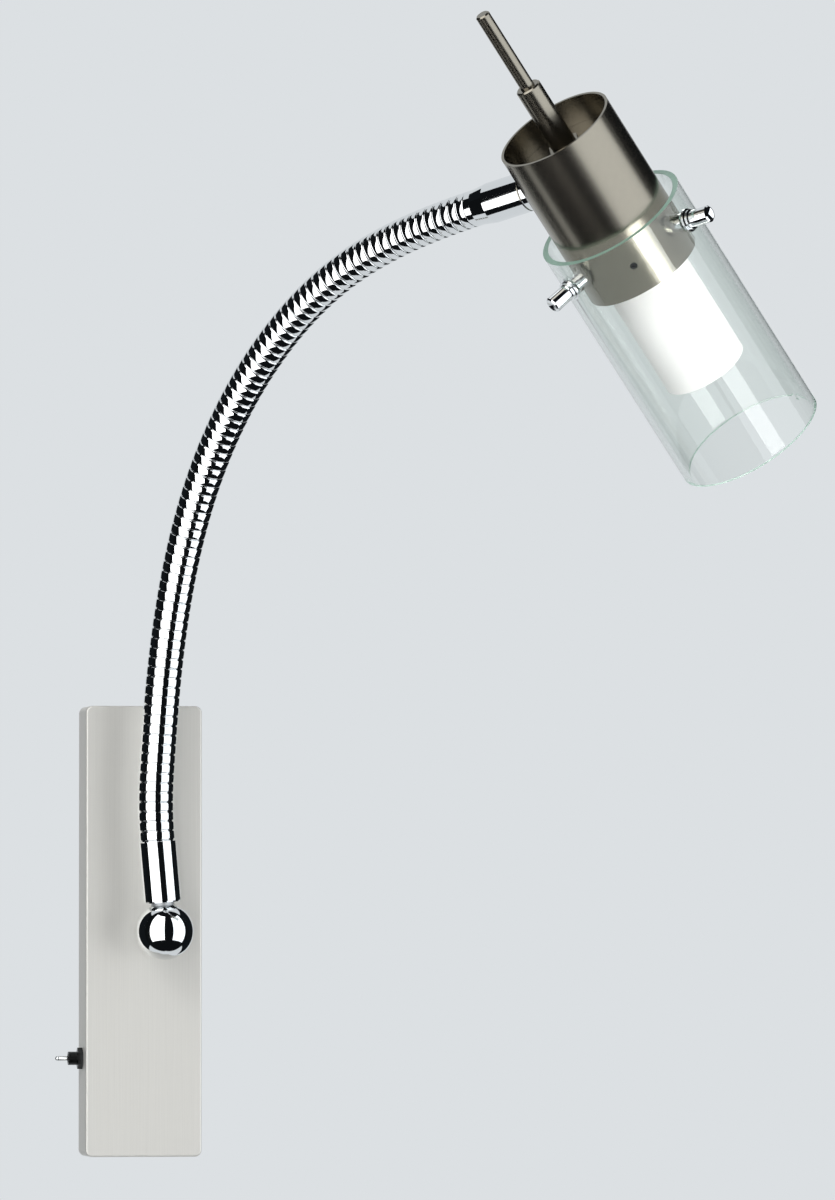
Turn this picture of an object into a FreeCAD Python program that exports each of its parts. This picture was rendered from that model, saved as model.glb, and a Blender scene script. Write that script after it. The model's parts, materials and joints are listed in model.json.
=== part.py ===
import FreeCAD, Part
import math
import os

# Bedside wall reading lamp. Millimetres. X to the right, Y into the wall, Z up.
# The origin is the middle of the wall box's back, on the wall.
V = FreeCAD.Vector
X_AXIS, Y_AXIS, Z_AXIS = V(1, 0, 0), V(0, 1, 0), V(0, 0, 1)

# ---- Clearances ----
RUNNING = 0.05          # radial, pieces that turn in each other
FIT = 0.1               # radial or per side, pieces that are fixed in each other
AIR = 0.3               # between faces that slide past each other

# ---- Wall box ----
COVER_WIDTH = 50.5
COVER_HEIGHT = 195.0
COVER_DEPTH = 25.0
COVER_WALL = 1.2
COVER_CORNER = 3.0
COVER_EDGE = 0.8
BRACKET_THICK = 1.5
LUG_WIDTH = 20.0
WALL_HOLE_SPACING = 170.0
WALL_HOLE_RADIUS = 2.5
COVER_SCREW_RADIUS = 1.5
COVER_SCREW_LENGTH = 6.0
COVER_SCREW_HEAD_RADIUS = 2.7

# ---- Supply inlet ----
INLET_X = 9.0
INLET_Z = -33.0
INLET_RADIUS = 6.0
GROMMET_LIP = 1.8
GROMMET_LIP_THICK = 1.3
GROMMET_BORE = 4.0
GROMMET_BACK = 0.0

# ---- Transformer, terminals and earth screw ----
TRANSFORMER_WIDTH = 36.0
TRANSFORMER_LENGTH = 60.0
TRANSFORMER_DEPTH = 16.0
TRANSFORMER_LID = 1.6
TRANSFORMER_BOTTOM = 15.0
TERMINAL_X = 9.0
TERMINAL_Z = -61.0
TERMINAL_WAYS = 3
TERMINAL_PITCH = 8.0
TERMINAL_WIDTH = 17.0
TERMINAL_DEPTH = 12.0
TERMINAL_BORE = 1.8
TERMINAL_SCREW_RADIUS = 1.6
EARTH_X = -12.0
EARTH_Z = -28.0
EARTH_SCREW_RADIUS = 2.0
EARTH_SCREW_LENGTH = 7.0

# ---- Toggle switch in the left wall of the box ----
SWITCH_Z = -55.0
SWITCH_BODY = (10.5, 8.0, 13.0)
SWITCH_TAG = (4.0, 0.8, 2.0)
SWITCH_BUSH_RADIUS = 2.9
SWITCH_BUSH_OUT = 6.2
SWITCH_NUT_FLATS = 8.0
SWITCH_NUT_THICK = 2.2
LEVER_BALL_RADIUS = 2.0
LEVER_RADIUS = 0.9
LEVER_TIP_RADIUS = 1.15
LEVER_REACH = 7.5
LEVER_TAIL = 4.0
LEVER_PIVOT_OUT = 3.5
LEVER_REST_TILT = 12.0

# ---- Swivel ball ----
BALL_X = 6.5
BALL_Z = 0.0
BALL_STANDOFF = 20.0
BALL_RADIUS = 12.3
BALL_BOSS_RADIUS = 6.8
STUD_RADIUS = 5.0
STUD_BORE = 3.2
STUD_GRIP = 7.0
BUSH_FLANGE_RADIUS = 9.0
BUSH_FLANGE_THICK = 2.0
BUSH_BODY_RADIUS = 6.2
BUSH_NUT_FLATS = 18.0
BUSH_NUT_THICK = 3.0
SPRING_RADIUS = 8.0
SPRING_THICK = 1.0
STUD_NUT_FLATS = 14.0
STUD_NUT_THICK = 3.5
STUD_TAIL = 1.0

# ---- Lower ferrule ----
FERRULE_LEAN = 5.0
FERRULE_RADIUS = 8.0
FERRULE_START = 12.4
FERRULE_TOP = 39.2
FERRULE_CHAMFER = 0.6
NIPPLE_GRIP = 8.0
TAIL_RADIUS = 6.5

# ---- Flexible neck: links of ribbed tube with nested ball ends ----
RIB_PITCH = 4.16
RIBS_PER_LINK = 7
RIB_CROWN_RADIUS = 7.75
RIB_GROOVE_RADIUS = 7.15
RIB_FLANK = 0.5
RIB_FLOOR = 0.35
NECK_BORE = 5.0
CABLE_BORE = 3.2
JOINT_HALF_GAP = 0.6
JOINT_END_RADIUS = 5.9
JOINT_FLANK = 0.3
SOCKET_LENGTH = 2.6
BALL_END_REACH = 3.0
TURNS_RIGHT = (8.5, 0.5, 2.5, 3.0, 4.5, 6.0, 6.5, 8.0, 10.0, 13.0, 9.5, 5.5)
TURNS_OUT = (1.5, 2.0, 4.0, 5.5, 5.5, 5.5, 5.0, 4.0, 3.5, 3.0, 2.5, 1.5)
LINK_COUNT = len(TURNS_RIGHT)

# ---- Upper ferrule ----
UPPER_FERRULE_LENGTH = 29.2
UPPER_FERRULE_RADIUS = 8.7
UPPER_FERRULE_COLLAR = 3.0
UPPER_FERRULE_FLARE = 7.0

# ---- Lamp head, on the axis where the neck's line meets it ----
HEAD_ROLL = 38.8
HOLDER_RADIUS = 25.5
HOLDER_WALL = 1.2
HOLDER_BELOW_NECK = 49.8
CUP_DEPTH = 12.0
FLOOR_THICK = 2.0
FLOOR_ABOVE_NUT = 1.3
SADDLE_RADIUS = 8.7
SADDLE_STAND = 2.0
INNER_SADDLE_STAND = 2.8
HEAD_NUT_FLATS = 14.0
HEAD_NUT_THICK = 3.5
HEAD_STUD_TAIL = 1.0

# ---- Handle on the head's top ----
STUB_RADIUS = 5.5
STUB_LENGTH = 29.8
STUB_NUT_FLATS = 13.0
STUB_NUT_THICK = 4.5
HANDLE_RADIUS = 3.1
HANDLE_STICKS_OUT = 37.7
HANDLE_GRIP = 15.0
TIE_RADIUS = 3.0
TIE_NUT_FLATS = 10.0
TIE_NUT_THICK = 3.0

# ---- Lamp socket and capsule ----
PLATE_THICK = 1.5
PLATE_BELOW_NECK = 13.0
PLATE_EDGE_GAP = 0.3
VENT_RADIUS = 2.5
VENT_RING = 18.0
VENT_COUNT = 6
SOCKET_RADIUS = 11.0
SOCKET_HEIGHT = 14.0
SOCKET_SCREW_RADIUS = 1.5
SOCKET_SCREW_OFFSET = 8.6
SOCKET_SCREW_HEAD_RADIUS = 2.6
SOCKET_SCREW_LENGTH = 9.0
PIN_SPACING = 6.35
PIN_RADIUS = 0.5
PIN_DEPTH = 7.0
CAPSULE_RADIUS = 6.0
CAPSULE_WALL = 1.0
CAPSULE_LENGTH = 29.0
PINCH_WIDTH = 11.0
PINCH_THICK = 4.5
PINCH_HEIGHT = 5.0
FILAMENT_DEPTH = 15.0
FILAMENT_RADIUS = 0.9

# ---- Frosted inner glass and its carrier ----
INNER_GLASS_RADIUS = 18.4
INNER_GLASS_WALL = 2.0
INNER_GLASS_BELOW = 53.3
LIP_WIDTH = 2.6
LIP_THICK = 2.0
CARRIER_HEIGHT = 14.3
CARRIER_RECESS = 0.5
CARRIER_SCREW_RADIUS = 1.5
CARRIER_SCREW_DROP = 2.1
CARRIER_SCREW_LENGTH = 4.6

# ---- Clear outer glass and its three thumb screws ----
GLASS_RADIUS = 32.5
GLASS_WALL = 2.5
GLASS_LENGTH = 118.4
GLASS_ABOVE_SCREWS = 12.2
SCREWS_ABOVE_END = 14.1
SCREW_COUNT = 3
SCREW_RADIUS = 2.0
SCREW_GUIDE = 0.6
BOSS_RADIUS = 3.75
WASHER_RADIUS = 5.0
WASHER_THICK = 1.0
HEAD_RADIUS = 3.6
HEAD_LENGTH = 10.6
HEAD_COLLAR_RADIUS = 4.3
HEAD_COLLAR_LENGTH = 1.4
HEAD_DISH_RADIUS = 2.6
HEAD_DISH_DEPTH = 0.8

ARC_STEPS = 6


# ---- Shapes ----
def cylinder(radius, low, high):
    """A cylinder on the Z axis."""
    return Part.makeCylinder(radius, high - low, V(0, 0, low), Z_AXIS)


def tube(outer, inner, low, high):
    """A ring or tube on the Z axis."""
    length = high - low
    return cylinder(outer, low, high).cut(cylinder(inner, low - length, high + length))


def nut(flats, bore, low, high):
    """A hexagon nut on the Z axis."""
    corner = flats / math.sqrt(3)
    points = [V(corner * math.cos(math.radians(a)), corner * math.sin(math.radians(a)), low)
              for a in range(0, 361, 60)]
    length = high - low
    prism = Part.Face(Part.makePolygon(points)).extrude(V(0, 0, length))
    return prism.cut(cylinder(bore, low - length, high + length))


def turned(profile):
    """A solid turned about the Z axis from a closed outline of (radius, height) points."""
    points = [V(radius, 0, height) for radius, height in profile]
    face = Part.Face(Part.makePolygon(points + [points[0]]))
    return face.revolve(V(0, 0, 0), Z_AXIS, 360)


def placed(shape, origin, axis):
    """The shape moved so that its Z axis starts at origin and runs along axis."""
    copy = shape.copy()
    copy.Placement = FreeCAD.Placement(origin, FreeCAD.Rotation(Z_AXIS, axis))
    return copy


def slab(width, height, corner, back, front):
    """A plate parallel to the wall with rounded corners, between two Y values."""
    box = Part.makeBox(width, back - front, height, V(-width / 2, front, -height / 2))
    if corner <= 0:
        return box
    edges = [e for e in box.Edges if abs(e.tangentAt(e.FirstParameter).y) > 0.9]
    return box.makeFillet(corner, edges)


def wall_hole(radius, x, z, back, front):
    """A cylinder square to the wall, between two Y values."""
    return Part.makeCylinder(radius, back - front, V(x, front, z), Y_AXIS)


def group(shapes):
    """Identical loose pieces kept together as separate solids."""
    return Part.makeCompound(shapes)


# ---- Wall box ----
FACE_Y = -COVER_DEPTH
INNER_FACE_Y = FACE_Y + COVER_WALL
INNER_WIDTH = COVER_WIDTH - 2 * COVER_WALL
INNER_HEIGHT = COVER_HEIGHT - 2 * COVER_WALL
INNER_CORNER = max(COVER_CORNER - COVER_WALL, 0)
BRACKET_FACE_Y = -BRACKET_THICK
COVER_SCREW_Y = -COVER_DEPTH / 2
LUG_REACH = COVER_DEPTH / 2 + 3 * COVER_SCREW_RADIUS
SWITCH_Y = -COVER_DEPTH / 2
SIDE_X = -COVER_WIDTH / 2
INNER_SIDE_X = SIDE_X + COVER_WALL
BUSH_BODY_HOLE = BUSH_BODY_RADIUS + FIT
SWITCH_HOLE = SWITCH_BUSH_RADIUS + FIT


def wall_cover():
    """Deep tray of brushed steel with a rounded front edge."""
    shell = slab(COVER_WIDTH, COVER_HEIGHT, COVER_CORNER, 0, FACE_Y)
    front = [e for e in shell.Edges if abs(e.BoundBox.YMin - FACE_Y) < 1e-6
             and e.BoundBox.YLength < 1e-6]
    shell = shell.makeFillet(min(COVER_EDGE, COVER_CORNER * 0.9), front)
    shell = shell.cut(slab(INNER_WIDTH, INNER_HEIGHT, INNER_CORNER, COVER_DEPTH, INNER_FACE_Y))
    shell = shell.cut(wall_hole(BUSH_BODY_HOLE, BALL_X, BALL_Z, INNER_FACE_Y + 1, FACE_Y - 1))
    shell = shell.cut(Part.makeCylinder(
        SWITCH_HOLE, 4 * COVER_WALL, V(SIDE_X - 2 * COVER_WALL, SWITCH_Y, SWITCH_Z), X_AXIS))
    for end in (-1, 1):
        shell = shell.cut(placed(cover_screw(FIT), V(0, COVER_SCREW_Y, end * COVER_HEIGHT / 2),
                                 Z_AXIS * end))
    return shell


def wall_bracket():
    """Back plate with two bent lugs that take the cover's screws."""
    width = INNER_WIDTH - 2 * FIT
    height = INNER_HEIGHT - 2 * FIT
    plate = slab(width, height, INNER_CORNER, 0, BRACKET_FACE_Y)
    for end in (-1, 1):
        low = min(end * height / 2, end * (height / 2 - BRACKET_THICK))
        plate = plate.fuse(Part.makeBox(
            LUG_WIDTH, LUG_REACH, BRACKET_THICK, V(-LUG_WIDTH / 2, -LUG_REACH, low)))
        plate = plate.cut(wall_hole(
            WALL_HOLE_RADIUS, 0, end * WALL_HOLE_SPACING / 2, 1, BRACKET_FACE_Y - 1))
    plate = plate.cut(wall_hole(INLET_RADIUS + FIT, INLET_X, INLET_Z, 1, BRACKET_FACE_Y - 1))
    plate = plate.cut(wall_hole(EARTH_SCREW_RADIUS + FIT, EARTH_X, EARTH_Z, 1, BRACKET_FACE_Y - 1))
    plate = plate.cut(Part.makeCylinder(
        COVER_SCREW_RADIUS + FIT, 2 * COVER_HEIGHT, V(0, COVER_SCREW_Y, -COVER_HEIGHT), Z_AXIS))
    return plate.removeSplitter()


def cover_screw(larger):
    """A countersunk screw whose flat head ends at Z = 0, or, made larger, its hole."""
    shank = COVER_SCREW_RADIUS + larger
    return turned([
        (0, -COVER_SCREW_LENGTH),
        (shank, -COVER_SCREW_LENGTH),
        (shank, -COVER_WALL),
        (COVER_SCREW_HEAD_RADIUS + larger, 0),
        (0, 0)])


def cover_screws():
    """One countersunk screw through each end of the cover into the bracket's lug."""
    return group([placed(cover_screw(0), V(0, COVER_SCREW_Y, end * COVER_HEIGHT / 2),
                         Z_AXIS * end) for end in (-1, 1)])


def cable_grommet():
    """Rubber ring in the bracket's cable hole, flush with the wall behind."""
    sleeve_end = BRACKET_THICK + GROMMET_LIP_THICK
    ring = turned([
        (GROMMET_BORE, GROMMET_BACK),
        (INLET_RADIUS, GROMMET_BACK),
        (INLET_RADIUS, BRACKET_THICK),
        (INLET_RADIUS + GROMMET_LIP, BRACKET_THICK),
        (INLET_RADIUS + GROMMET_LIP, sleeve_end),
        (GROMMET_BORE, sleeve_end)])
    return placed(ring, V(INLET_X, 0, INLET_Z), -Y_AXIS)


def transformer_case():
    """Plastic case of the lamp's electronic transformer."""
    depth = TRANSFORMER_DEPTH - TRANSFORMER_LID
    wall = TRANSFORMER_LID
    case = Part.makeBox(TRANSFORMER_WIDTH, depth, TRANSFORMER_LENGTH, V(
        -TRANSFORMER_WIDTH / 2, BRACKET_FACE_Y - depth, TRANSFORMER_BOTTOM))
    hollow = Part.makeBox(
        TRANSFORMER_WIDTH - 2 * wall, depth, TRANSFORMER_LENGTH - 2 * wall, V(
            -TRANSFORMER_WIDTH / 2 + wall, BRACKET_FACE_Y - depth - wall,
            TRANSFORMER_BOTTOM + wall))
    return case.cut(hollow)


def transformer_lid():
    """Snap-on lid of the transformer, with a rib that drops into the case."""
    lid_back = BRACKET_FACE_Y - TRANSFORMER_DEPTH + TRANSFORMER_LID
    inset = TRANSFORMER_LID + FIT
    lid = Part.makeBox(TRANSFORMER_WIDTH, TRANSFORMER_LID, TRANSFORMER_LENGTH, V(
        -TRANSFORMER_WIDTH / 2, lid_back - TRANSFORMER_LID, TRANSFORMER_BOTTOM))
    rib = Part.makeBox(
        TRANSFORMER_WIDTH - 2 * inset, TRANSFORMER_LID, TRANSFORMER_LENGTH - 2 * inset, V(
            -TRANSFORMER_WIDTH / 2 + inset, lid_back, TRANSFORMER_BOTTOM + inset))
    return lid.fuse(rib).removeSplitter()


def terminal_block():
    """Screw terminals for the supply, the switch and the transformer."""
    length = TERMINAL_WAYS * TERMINAL_PITCH
    left = TERMINAL_X - TERMINAL_WIDTH / 2
    bottom = TERMINAL_Z - length / 2
    front = BRACKET_FACE_Y - TERMINAL_DEPTH
    block = Part.makeBox(TERMINAL_WIDTH, TERMINAL_DEPTH, length, V(left, front, bottom))
    for way in range(TERMINAL_WAYS):
        z = bottom + (way + 0.5) * TERMINAL_PITCH
        block = block.cut(Part.makeCylinder(
            TERMINAL_BORE, 2 * TERMINAL_WIDTH, V(left - TERMINAL_WIDTH / 2, BRACKET_FACE_Y
                                                 - TERMINAL_DEPTH / 3, z), X_AXIS))
        for side in (-1, 1):
            block = block.cut(wall_hole(
                TERMINAL_SCREW_RADIUS + FIT, TERMINAL_X + side * TERMINAL_WIDTH / 4, z,
                BRACKET_FACE_Y - TERMINAL_DEPTH / 3, front - 1))
    return block


def terminal_screws():
    """Clamping screws of the terminal block, two for each way."""
    bottom = TERMINAL_Z - TERMINAL_WAYS * TERMINAL_PITCH / 2
    front = BRACKET_FACE_Y - TERMINAL_DEPTH
    screws = []
    for way in range(TERMINAL_WAYS):
        for side in (-1, 1):
            screws.append(wall_hole(
                TERMINAL_SCREW_RADIUS, TERMINAL_X + side * TERMINAL_WIDTH / 4,
                bottom + (way + 0.5) * TERMINAL_PITCH,
                BRACKET_FACE_Y - TERMINAL_DEPTH / 3 - TERMINAL_BORE * 0.2, front + 1))
    return group(screws)


def earth_screw():
    """Earth screw with its nut on the bracket."""
    head = EARTH_SCREW_RADIUS
    screw = cylinder(EARTH_SCREW_RADIUS, BRACKET_THICK * 0.1, EARTH_SCREW_LENGTH)
    clamp = nut(3.5 * EARTH_SCREW_RADIUS, EARTH_SCREW_RADIUS, BRACKET_THICK,
                BRACKET_THICK + head)
    return placed(screw.fuse(clamp), V(EARTH_X, 0, EARTH_Z), -Y_AXIS)


# ---- Toggle switch ----
PIVOT = V(SIDE_X - LEVER_PIVOT_OUT, SWITCH_Y, SWITCH_Z)
LEVER_BORE = LEVER_BALL_RADIUS + RUNNING


def switch_body():
    """Body of the toggle switch with its two solder tags."""
    length, depth, height = SWITCH_BODY
    tag_length, tag_thick, tag_width = SWITCH_TAG
    body = Part.makeBox(length, depth, height, V(
        INNER_SIDE_X, SWITCH_Y - depth / 2, SWITCH_Z - height / 2))
    for side in (-1, 1):
        body = body.fuse(Part.makeBox(tag_length, tag_thick, tag_width, V(
            INNER_SIDE_X + length, SWITCH_Y - tag_thick / 2,
            SWITCH_Z + side * height / 4 - tag_width / 2)))
    return body


def switch_bush():
    """Threaded bush that carries the lever through the cover's side."""
    return placed(tube(SWITCH_BUSH_RADIUS, LEVER_BORE, -COVER_WALL, SWITCH_BUSH_OUT),
                  V(SIDE_X, SWITCH_Y, SWITCH_Z), -X_AXIS)


def switch_nut():
    """Nut that clamps the switch to the cover's side."""
    return placed(nut(SWITCH_NUT_FLATS, SWITCH_BUSH_RADIUS + FIT, 0, SWITCH_NUT_THICK),
                  V(SIDE_X, SWITCH_Y, SWITCH_Z), -X_AXIS)


def toggle_lever():
    """Slim lever with a ball that rocks in the bush, at rest tipped away from the wall."""
    stem = Part.makeCone(LEVER_RADIUS, LEVER_TIP_RADIUS, LEVER_REACH)
    tip = Part.makeSphere(LEVER_TIP_RADIUS, V(0, 0, LEVER_REACH))
    tail = cylinder(LEVER_RADIUS, -LEVER_TAIL, 0)
    lever = Part.makeSphere(LEVER_BALL_RADIUS).fuse([stem, tip, tail])
    tilt = math.radians(LEVER_REST_TILT)
    return placed(lever, PIVOT, V(-math.cos(tilt), -math.sin(tilt), 0))


# ---- Swivel ball on the cover ----
BALL_CENTRE = V(BALL_X, FACE_Y - BALL_STANDOFF, BALL_Z)
BUSH_IN = COVER_WALL + BUSH_NUT_THICK + 1
SPRING_LOW = BUSH_IN + AIR
STUD_NUT_LOW = SPRING_LOW + SPRING_THICK
STUD_END = STUD_NUT_LOW + STUD_NUT_THICK + STUD_TAIL


def on_stud(shape):
    """A shape whose Z axis starts at the cover's face and runs into the box."""
    return placed(shape, V(BALL_X, FACE_Y, BALL_Z), Y_AXIS)


def swivel_bush():
    """Flanged bush in the cover's face that the hollow stud turns in."""
    bore = STUD_RADIUS + RUNNING
    return on_stud(tube(BUSH_FLANGE_RADIUS, bore, -BUSH_FLANGE_THICK, 0).fuse(
        tube(BUSH_BODY_RADIUS, bore, 0, BUSH_IN)).removeSplitter())


def bush_nut():
    """Ring nut that clamps the bush to the cover from inside."""
    return on_stud(nut(BUSH_NUT_FLATS, BUSH_BODY_RADIUS + FIT, COVER_WALL,
                       COVER_WALL + BUSH_NUT_THICK))


def swivel_spring():
    """Spring washer that gives the swivel its friction."""
    return on_stud(tube(SPRING_RADIUS, STUD_RADIUS + FIT, SPRING_LOW, STUD_NUT_LOW))


def swivel_nut():
    """Nut on the stud's inner end."""
    return on_stud(nut(STUD_NUT_FLATS, STUD_RADIUS + FIT, STUD_NUT_LOW,
                       STUD_NUT_LOW + STUD_NUT_THICK))


def swivel_stud():
    """Hollow stud from the ball through the bush; the leads run inside it."""
    return on_stud(tube(STUD_RADIUS, STUD_BORE, -BALL_STANDOFF + STUD_GRIP, STUD_END))


def leaning(shape):
    """A shape whose Z axis starts at the ball's centre and runs up the lower ferrule."""
    return placed(shape, BALL_CENTRE, NECK_START)


def swivel_ball():
    """Polished ball with a boss towards the wall, bored for the stud and the nipple."""
    boss_end = -BUSH_FLANGE_THICK - AIR
    ball = Part.makeSphere(BALL_RADIUS, BALL_CENTRE)
    ball = ball.fuse(on_stud(cylinder(BALL_BOSS_RADIUS, -BALL_STANDOFF, boss_end)))
    ball = ball.cut(on_stud(cylinder(STUD_RADIUS + FIT, -BALL_STANDOFF + STUD_GRIP, 0)))
    ball = ball.cut(on_stud(cylinder(STUD_BORE, -BALL_STANDOFF, 0)))
    ball = ball.cut(leaning(cylinder(
        STUD_RADIUS + FIT, BALL_RADIUS - NIPPLE_GRIP, 2 * BALL_RADIUS)))
    return ball.cut(leaning(cylinder(CABLE_BORE, 0, BALL_RADIUS)))


# ---- The neck's line: one arc for each link ----
def heading(right, out):
    """Direction of the neck when it has turned right and out by these degrees."""
    a, b = math.radians(right), math.radians(out)
    return V(math.sin(a) * math.cos(b), -math.sin(b), math.cos(a) * math.cos(b))


class Arc:
    """A link's centreline: an arc from a start point between two directions."""

    def __init__(self, start, first, last, length):
        self.start, self.first, self.length = start, first, length
        self.turn = first.getAngle(last)
        inward = last - first * first.dot(last)
        self.inward = inward / inward.Length

    def direction(self, s):
        angle = self.turn * s / self.length
        return self.first * math.cos(angle) + self.inward * math.sin(angle)

    def point(self, s):
        angle = self.turn * s / self.length
        radius = self.length / self.turn
        return (self.start + self.first * (radius * math.sin(angle))
                + self.inward * (radius * (1 - math.cos(angle))))


LINK_LENGTH = RIBS_PER_LINK * RIB_PITCH
NECK_START = heading(-FERRULE_LEAN, 0)


def neck_arcs():
    """The links' arcs, each starting where the one before ends."""
    right, out = -FERRULE_LEAN, 0.0
    start = BALL_CENTRE + NECK_START * FERRULE_TOP
    arcs = []
    for turn_right, turn_out in zip(TURNS_RIGHT, TURNS_OUT):
        first = heading(right, out)
        right += turn_right
        out += turn_out
        arcs.append(Arc(start, first, heading(right, out), LINK_LENGTH))
        start = arcs[-1].point(LINK_LENGTH)
    return arcs


ARCS = neck_arcs()
NECK_END = ARCS[-1].point(LINK_LENGTH)
NECK_AIM = ARCS[-1].direction(LINK_LENGTH)
BEND_NORMAL = NECK_START.cross(NECK_AIM)
BEND_NORMAL = BEND_NORMAL / BEND_NORMAL.Length


def neck_joints():
    """Each joint between links: its point, its axis, and whether it bows or sways the neck."""
    joints = []
    for number, arc in enumerate(ARCS[1:], start=1):
        along = arc.first
        bow = BEND_NORMAL - along * BEND_NORMAL.dot(along)
        bow = bow / bow.Length
        bows = number % 2 == 1
        joints.append((arc.start, bow if bows else along.cross(bow), bows))
    return joints


# ---- Ribbed links ----
def ring(arc, s, radius):
    """A circle round the neck's line, with its X axis kept along the neck's bending normal."""
    along = arc.direction(s)
    circle = Part.Circle(arc.point(s), along, radius)
    steady = BEND_NORMAL - along * BEND_NORMAL.dot(along)
    circle.XAxis = steady / steady.Length
    return Part.Wire([circle.toShape()])


def ruled(arc, stations):
    """A ruled loft through circles given as (place along the link, radius)."""
    return Part.makeLoft([ring(arc, s, radius) for s, radius in stations], True, True)


def rib_stations(first_joint, last_joint):
    """Four circles a rib; an end at a joint is cut back to a cone that leaves room to bend."""
    half = RIB_PITCH / 2
    crown = half - RIB_FLOOR - RIB_FLANK
    stations = []
    for rib in range(RIBS_PER_LINK):
        middle = (rib + 0.5) * RIB_PITCH
        stations += [
            (middle - crown - RIB_FLANK, RIB_GROOVE_RADIUS),
            (middle - crown, RIB_CROWN_RADIUS),
            (middle + crown, RIB_CROWN_RADIUS),
            (middle + crown + RIB_FLANK, RIB_GROOVE_RADIUS)]
    if first_joint:
        stations[0] = (JOINT_HALF_GAP, JOINT_END_RADIUS)
        stations[1] = (JOINT_HALF_GAP + JOINT_FLANK, RIB_CROWN_RADIUS)
    else:
        stations[0] = (0, RIB_GROOVE_RADIUS)
    if last_joint:
        stations[-1] = (LINK_LENGTH - JOINT_HALF_GAP, JOINT_END_RADIUS)
        stations[-2] = (LINK_LENGTH - JOINT_HALF_GAP - JOINT_FLANK, RIB_CROWN_RADIUS)
    else:
        stations[-1] = (LINK_LENGTH, RIB_GROOVE_RADIUS)
    return stations


def neck_tail(arc, s, outwards):
    """Straight end of the neck, one neck diameter long, clamped in a ferrule."""
    length = 2 * RIB_CROWN_RADIUS
    axis = arc.direction(s) * outwards
    return placed(tube(TAIL_RADIUS, NECK_BORE, 0, length), arc.point(s), axis)


def neck_link(number):
    """One ribbed link: a bored tube with a ball end that nests in the next link's bore."""
    arc = ARCS[number]
    first_joint = number > 0
    last_joint = number < LINK_COUNT - 1
    link = ruled(arc, rib_stations(first_joint, last_joint))
    low = JOINT_HALF_GAP if first_joint else 0.0
    steps = [low + (LINK_LENGTH - low) * i / ARC_STEPS for i in range(ARC_STEPS + 1)]
    if last_joint:
        socket_end = LINK_LENGTH - JOINT_HALF_GAP - SOCKET_LENGTH
        steps = [s for s in steps if s < socket_end - SOCKET_LENGTH / 2] + [socket_end]
    link = link.cut(ruled(arc, [(s, NECK_BORE) for s in steps]))
    if last_joint:
        end, along = arc.point(LINK_LENGTH), arc.direction(LINK_LENGTH)
        reach = SOCKET_LENGTH + 2 * JOINT_HALF_GAP
        ball = Part.makeSphere(NECK_BORE - FIT).common(
            cylinder(NECK_BORE, -JOINT_HALF_GAP - FIT, BALL_END_REACH))
        link = link.fuse(placed(ball, end, along))
        link = link.cut(placed(cylinder(CABLE_BORE, -reach, 2 * BALL_END_REACH), end, along))
    if not first_joint:
        link = link.fuse(neck_tail(arc, 0, -1))
    if not last_joint:
        link = link.fuse(neck_tail(arc, LINK_LENGTH, 1))
    return link


# ---- Ferrules ----
def lower_ferrule():
    """Polished sleeve between the ball and the neck."""
    tail_room = TAIL_RADIUS + FIT
    floor = FERRULE_TOP - 2 * RIB_CROWN_RADIUS - AIR
    bore = STUD_RADIUS + FIT
    return leaning(turned([
        (bore, FERRULE_START),
        (FERRULE_RADIUS - FERRULE_CHAMFER, FERRULE_START),
        (FERRULE_RADIUS, FERRULE_START + FERRULE_CHAMFER),
        (FERRULE_RADIUS, FERRULE_TOP - FERRULE_CHAMFER),
        (FERRULE_RADIUS - FERRULE_CHAMFER, FERRULE_TOP),
        (tail_room, FERRULE_TOP),
        (tail_room, floor),
        (bore, floor)]))


def neck_nipple():
    """Hollow threaded nipple that joins the ball and the lower ferrule."""
    top = FERRULE_TOP - 2 * RIB_CROWN_RADIUS - 2 * AIR
    return leaning(tube(STUD_RADIUS, CABLE_BORE, BALL_RADIUS - NIPPLE_GRIP, top))


HOLDER_INNER = HOLDER_RADIUS - HOLDER_WALL
OUTER_SEAT = HOLDER_RADIUS + SADDLE_STAND
NECK_TO_AXIS = UPPER_FERRULE_LENGTH + AIR + OUTER_SEAT


def on_neck_end(shape):
    """A shape whose Z axis starts at the last rib and runs on towards the head."""
    return placed(shape, NECK_END, NECK_AIM)


def upper_ferrule():
    """Polished sleeve that flares towards the head."""
    tail_room = TAIL_RADIUS + FIT
    floor = 2 * RIB_CROWN_RADIUS + AIR
    end = UPPER_FERRULE_LENGTH
    return on_neck_end(turned([
        (tail_room, 0),
        (RIB_CROWN_RADIUS, 0),
        (RIB_CROWN_RADIUS, UPPER_FERRULE_COLLAR),
        (UPPER_FERRULE_RADIUS, UPPER_FERRULE_COLLAR + UPPER_FERRULE_FLARE),
        (UPPER_FERRULE_RADIUS, end - FERRULE_CHAMFER),
        (UPPER_FERRULE_RADIUS - FERRULE_CHAMFER, end),
        (STUD_RADIUS + FIT, end),
        (STUD_RADIUS + FIT, floor),
        (tail_room, floor)]))


INNER_SEAT = HOLDER_INNER - INNER_SADDLE_STAND
HEAD_SPRING_FAR = INNER_SEAT - AIR - SPRING_THICK
HEAD_NUT_FAR = HEAD_SPRING_FAR - HEAD_NUT_THICK


def head_nipple():
    """Hollow stud from the upper ferrule through the holder's wall."""
    start = 2 * RIB_CROWN_RADIUS + 2 * AIR
    return on_neck_end(tube(STUD_RADIUS, STUD_BORE, start,
                            NECK_TO_AXIS - HEAD_NUT_FAR + HEAD_STUD_TAIL))


def head_spring():
    """Spring washer inside the holder."""
    return on_neck_end(tube(SPRING_RADIUS, STUD_RADIUS + FIT,
                            NECK_TO_AXIS - INNER_SEAT + AIR, NECK_TO_AXIS - HEAD_SPRING_FAR))


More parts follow.
